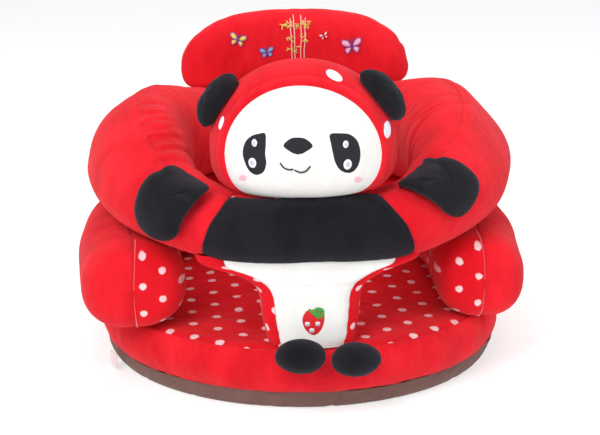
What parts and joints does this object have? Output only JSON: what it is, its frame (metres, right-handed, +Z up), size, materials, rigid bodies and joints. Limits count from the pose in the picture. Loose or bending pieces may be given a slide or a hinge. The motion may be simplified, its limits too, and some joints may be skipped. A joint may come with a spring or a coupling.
{
  "type": "plush panda baby seat",
  "caption": "Stuffed floor seat for a baby: a round cushion, two bolsters round the back and sides, a headrest, and a plush panda across the front.",
  "frame": {"origin": "centre of the base's flat underside, on the floor", "axes": "+Z up, the panda faces -Y, +X is the panda's left"},
  "size_m": [0.4643, 0.4835, 0.33],
  "materials": {
    "red_plush": "short-pile red minky plush",
    "dotted_plush": "red cotton-touch plush printed with small pale pink dots",
    "white_plush": "short-pile white plush",
    "black_plush": "fuzzy black plush",
    "brown_nonslip": "brown non-slip cloth",
    "cotton_filling": "polyester fibre filling",
    "seat_foam": null,
    "black_felt": "black felt and satin stitching",
    "white_thread": "white satin stitching",
    "pink_thread": "pink satin stitching",
    "berry_thread": "red satin stitching with pale seeds",
    "green_thread": "green satin stitching",
    "bamboo_thread": "pale canes and yellow-green leaves in satin stitch",
    "butterfly_thread": "satin stitch in the colour of each butterfly",
    "zip_tape": "woven zip tape",
    "zip_coil": "nylon coil",
    "zip_slider": "die-cast slider and pull",
    "satin": "blank satin ribbon"
  },
  "bodies": {
    "seat": {"base_foam": "seat_foam", "base_nonslip_bottom": "brown_nonslip", "base_red_boxing": "red_plush", "belly_back_panel": "dotted_plush", "belly_filling": "cotton_filling", "belly_white_panel": "white_plush", "bolster_dotted_lining": "dotted_plush", "bolster_filling": "cotton_filling", "bolster_outer_cover": "red_plush", "chest_back_panel": "dotted_plush", "chest_band": "black_plush", "gusset_left": "dotted_plush", "gusset_right": "dotted_plush", "ring_filling": "cotton_filling", "ring_inner_cover": "red_plush", "ring_outer_cover": "red_plush", "seat_dotted_panel": "dotted_plush", "strawberry_fruit": "berry_thread", "strawberry_leaves": "green_thread", "zip_coil": "zip_coil", "zip_tape_lower": "zip_tape", "zip_tape_upper": "zip_tape"},
    "head": {"face_white_panel": "white_plush", "hood_red_cover": "red_plush", "hood_binding": "red_plush", "head_filling": "cotton_filling", "nose": "black_felt", "mouth_stitching": "black_felt", "cheek_left": "pink_thread", "cheek_right": "pink_thread", "eye_patch_left": "black_felt", "eye_patch_right": "black_felt", "eye_shine_large_left": "white_thread", "eye_shine_large_right": "white_thread", "eye_shine_small_left": "white_thread", "eye_shine_small_right": "white_thread"},
    "ear_right": {"ear_right": "black_plush"},
    "ear_left": {"ear_left": "black_plush"},
    "paw_right": {"paw_right": "black_plush"},
    "paw_left": {"paw_left": "black_plush"},
    "foot_right": {"foot_right": "black_plush"},
    "foot_left": {"foot_left": "black_plush"},
    "headrest": {"bamboo_embroidery": "bamboo_thread", "butterfly_blue": "butterfly_thread", "butterfly_pink": "butterfly_thread", "butterfly_white": "butterfly_thread", "butterfly_yellow": "butterfly_thread", "headrest_back_cover": "red_plush", "headrest_filling": "cotton_filling", "headrest_front_cover": "red_plush"},
    "zip_slider": {"zip_slider": "zip_slider"},
    "zip_pull": {"zip_pull": "zip_slider"},
    "care_label": {"care_label": "satin"}
  },
  "joints": [
    {"name": "head_nod", "type": "hinge", "parent": "seat", "child": "head", "pos_m": [-0.009, -0.145, 0.201], "axis": [1, 0, 0], "range_deg": [-8, 0], "stiffness_Nm_per_rad": 0.6},
    {"name": "ear_right_fold", "type": "hinge", "parent": "head", "child": "ear_right", "pos_m": [-0.08884, -0.12816, 0.28875], "axis": [0.5529, -0.0876, 0.8287], "range_deg": [-15, 15], "stiffness_Nm_per_rad": 0.02},
    {"name": "ear_left_fold", "type": "hinge", "parent": "head", "child": "ear_left", "pos_m": [0.06174, -0.152, 0.29589], "axis": [0.5968, -0.0945, -0.7968], "range_deg": [-15, 15], "stiffness_Nm_per_rad": 0.02},
    {"name": "paw_right_lift", "type": "hinge", "parent": "seat", "child": "paw_right", "pos_m": [-0.11978, -0.13771, 0.21558], "axis": [-0.7431, 0.6146, 0.2646], "range_deg": [0, 60]},
    {"name": "paw_left_lift", "type": "hinge", "parent": "seat", "child": "paw_left", "pos_m": [0.10033, -0.14654, 0.21287], "axis": [-0.5944, -0.7058, -0.3854], "range_deg": [0, 60]},
    {"name": "foot_right_lift", "type": "hinge", "parent": "seat", "child": "foot_right", "pos_m": [-0.0215, -0.2155, 0.07197], "axis": [-1, 0, 0], "range_deg": [0, 60], "stiffness_Nm_per_rad": 0.03},
    {"name": "foot_left_lift", "type": "hinge", "parent": "seat", "child": "foot_left", "pos_m": [0.0305, -0.2155, 0.06678], "axis": [-1, 0, 0], "range_deg": [0, 60], "stiffness_Nm_per_rad": 0.03},
    {"name": "headrest_tilt", "type": "hinge", "parent": "seat", "child": "headrest", "pos_m": [0.011, 0.17, 0.2455], "axis": [1, 0, 0], "range_deg": [-15, 10], "stiffness_Nm_per_rad": 0.5},
    {"name": "zip_slide", "type": "slide", "parent": "seat", "child": "zip_slider", "axis": [1, 0, 0], "range_m": [0, 0.117]},
    {"name": "zip_pull_swing", "type": "hinge", "parent": "zip_slider", "child": "zip_pull", "pos_m": [-0.058, 0.2007, 0.038], "axis": [0, 0, 1], "range_deg": [0, 150]},
    {"name": "care_label_flap", "type": "hinge", "parent": "seat", "child": "care_label", "pos_m": [-0.1999, -0.08077, 0.0188], "axis": [-0.3746, 0.9272, 0], "range_deg": [0, 80]}
  ]
}
